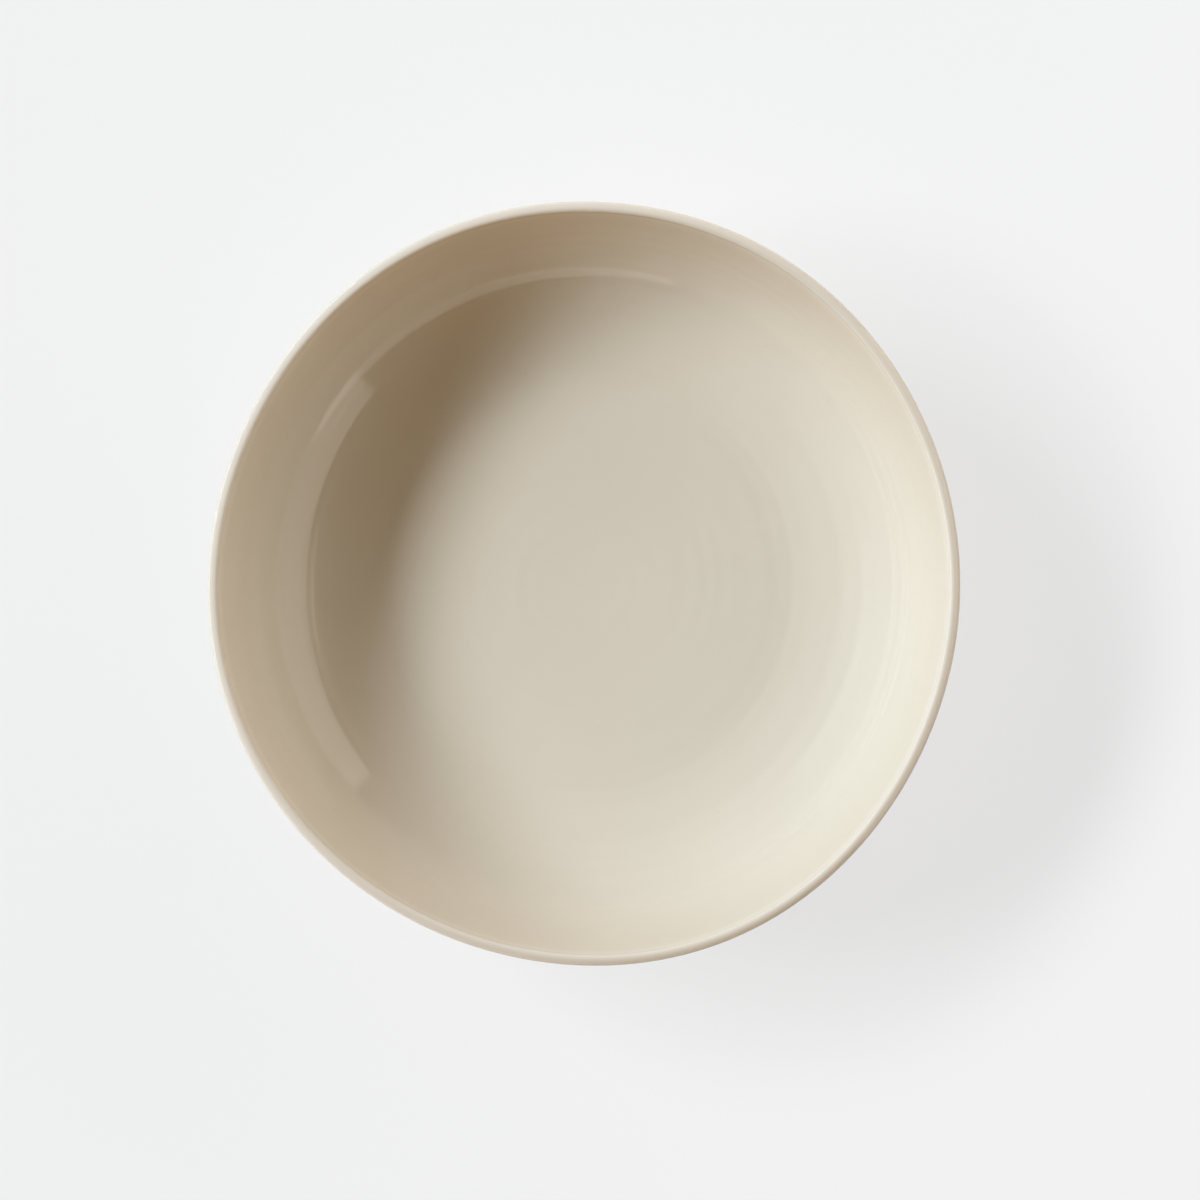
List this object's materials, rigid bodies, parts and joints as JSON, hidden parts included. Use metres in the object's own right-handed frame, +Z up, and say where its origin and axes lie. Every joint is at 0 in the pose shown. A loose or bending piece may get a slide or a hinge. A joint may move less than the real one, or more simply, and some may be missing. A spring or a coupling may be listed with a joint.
{
  "type": "serving bowl",
  "caption": "Low round serving bowl with a nearly flat floor, a steep wall, a rounded lip and a bare foot ring, glazed inside and out.",
  "frame": {"origin": "on the bowl's axis, in the plane of the foot ring's standing face", "axes": "+Z up along the bowl's axis, out of its mouth; +X to the right and +Y to the top of the picture"},
  "size_m": [0.2874, 0.2924, 0.07],
  "materials": {
    "stoneware": "fired bare stoneware, dry to the touch",
    "inner_glaze": "glossy cream glaze",
    "outer_glaze": "glossy cream glaze",
    "foot_well_glaze": "glossy cream glaze, thinner than on the wall"
  },
  "bodies": {
    "root": {"clay_body": "stoneware", "inner_glaze": "inner_glaze", "outer_glaze": "outer_glaze", "foot_well_glaze": "foot_well_glaze"}
  },
  "joints": []
}
